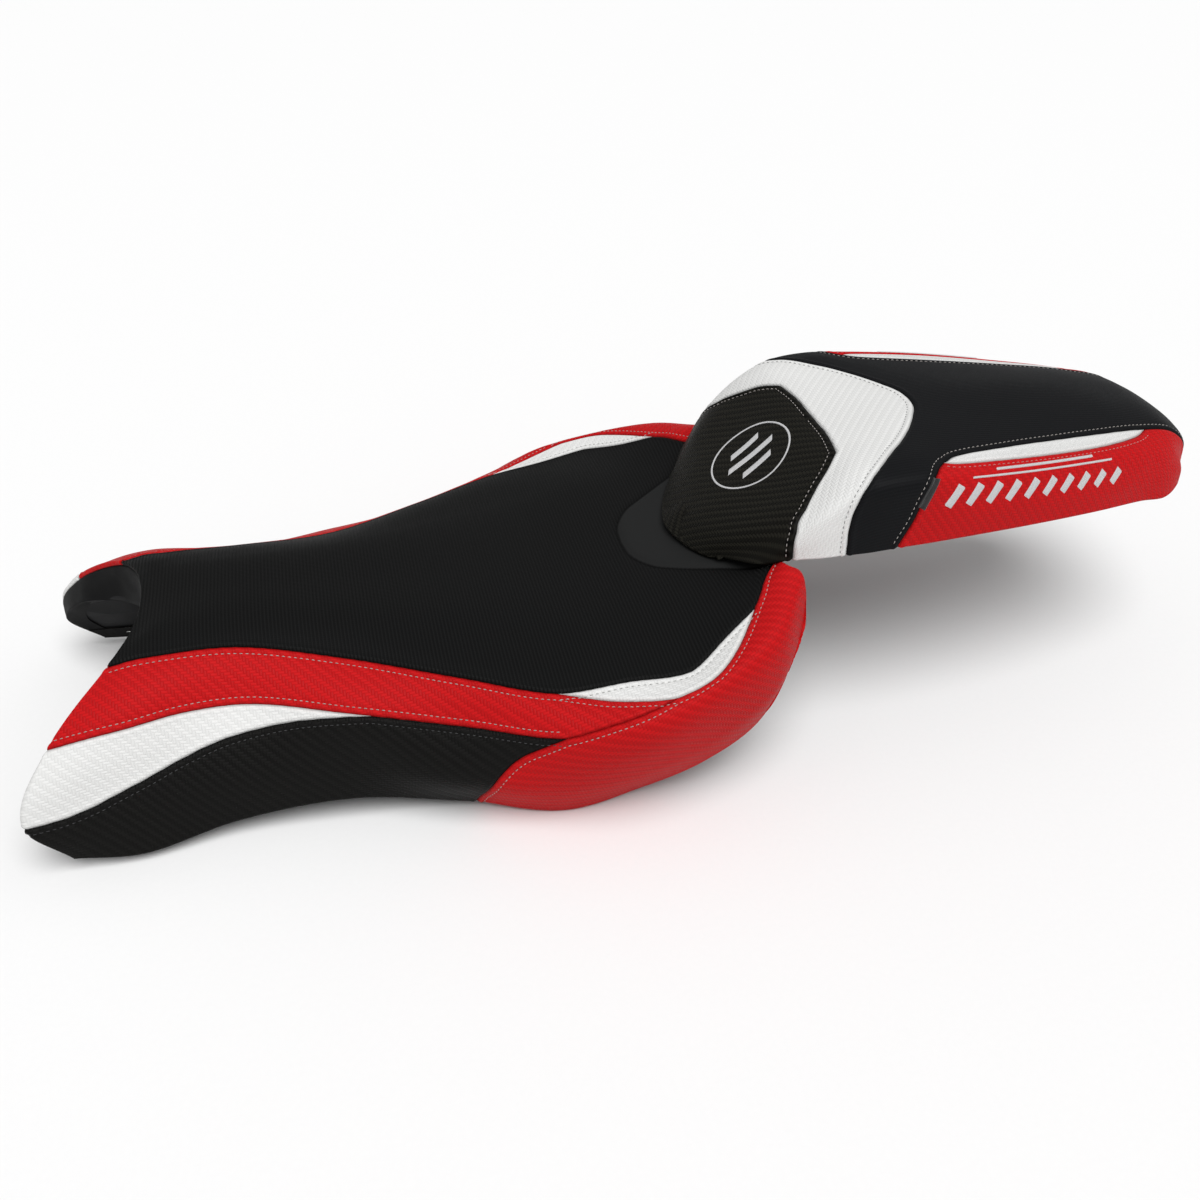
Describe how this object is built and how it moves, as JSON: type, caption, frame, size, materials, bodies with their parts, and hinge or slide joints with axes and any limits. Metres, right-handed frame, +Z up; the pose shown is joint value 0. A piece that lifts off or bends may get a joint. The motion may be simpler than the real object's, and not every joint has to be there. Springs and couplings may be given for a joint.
{
  "type": "motorcycle seat",
  "caption": "Split motorcycle seat: a waisted rider seat with raised rear horns and a separate tapered pillion seat above it, in stitched multi-colour panels.",
  "frame": {"origin": "middle of the underside of the rider seat's rear bracket, where the seat is bolted to the motorcycle's frame; on the seat's centre plane", "axes": "+X towards the rear of the motorcycle, +Y towards the rider's right, +Z up"},
  "size_m": [0.7868, 0.3336, 0.1857],
  "materials": {
    "black_grip_vinyl": "fine cross-ribbed black seat vinyl, satin",
    "black_carbon_vinyl": "black vinyl with a carbon-weave emboss, semi-gloss",
    "black_smooth_vinyl": "smooth black vinyl, satin",
    "red_carbon_vinyl": "red vinyl with a carbon-weave emboss, semi-gloss",
    "white_carbon_vinyl": "white vinyl with a carbon-weave emboss, satin",
    "polyurethane_foam": "open-cell moulded foam",
    "black_polypropylene": "moulded, fine grain",
    "zinc_plated_steel": "pressed and zinc plated",
    "buffer_rubber": "moulded rubber",
    "silver_thread": "satin-stitch embroidery and topstitching thread",
    "woven_label": "plain woven tag"
  },
  "bodies": {
    "rider_seat": {"rider_base_pan": "black_polypropylene", "rider_black_side_L": "black_carbon_vinyl", "rider_black_side_R": "black_carbon_vinyl", "rider_bracket_screw_L": "zinc_plated_steel", "rider_bracket_screw_R": "zinc_plated_steel", "rider_buffer_front_L": "buffer_rubber", "rider_buffer_front_R": "buffer_rubber", "rider_buffer_rear_L": "buffer_rubber", "rider_buffer_rear_R": "buffer_rubber", "rider_foam_core": "polyurethane_foam", "rider_front_lining": "black_smooth_vinyl", "rider_front_tongue": "zinc_plated_steel", "rider_rear_bracket": "zinc_plated_steel", "rider_red_rear_L": "red_carbon_vinyl", "rider_red_rear_R": "red_carbon_vinyl", "rider_red_strip_L": "red_carbon_vinyl", "rider_red_strip_R": "red_carbon_vinyl", "rider_tongue_screw_L": "zinc_plated_steel", "rider_tongue_screw_R": "zinc_plated_steel", "rider_top_cover": "black_grip_vinyl", "rider_white_front_L": "white_carbon_vinyl", "rider_white_front_R": "white_carbon_vinyl", "rider_white_insert_L": "white_carbon_vinyl", "rider_white_insert_R": "white_carbon_vinyl"},
    "pillion_seat": {"pillion_base_pan": "black_polypropylene", "pillion_buffer_front_L": "buffer_rubber", "pillion_buffer_front_R": "buffer_rubber", "pillion_buffer_rear_L": "buffer_rubber", "pillion_buffer_rear_R": "buffer_rubber", "pillion_chevron": "white_carbon_vinyl", "pillion_emblem": "silver_thread", "pillion_foam_core": "polyurethane_foam", "pillion_front_panel": "black_carbon_vinyl", "pillion_hook_screw_L": "zinc_plated_steel", "pillion_hook_screw_R": "zinc_plated_steel", "pillion_rear_hook_L": "zinc_plated_steel", "pillion_rear_hook_R": "zinc_plated_steel", "pillion_red_side_L": "red_carbon_vinyl", "pillion_red_side_R": "red_carbon_vinyl", "pillion_side_tag": "woven_label", "pillion_striker_bar": "zinc_plated_steel", "pillion_striker_plate": "zinc_plated_steel", "pillion_striker_screw_L": "zinc_plated_steel", "pillion_striker_screw_R": "zinc_plated_steel", "pillion_top_panel": "black_smooth_vinyl", "pillion_white_stripe_L": "white_carbon_vinyl", "pillion_white_stripe_R": "white_carbon_vinyl"}
  },
  "joints": [
    {"name": "pillion_lift", "type": "slide", "parent": "rider_seat", "child": "pillion_seat", "axis": [-0.5, 0, 0.866], "range_m": [0, 0.18]}
  ]
}
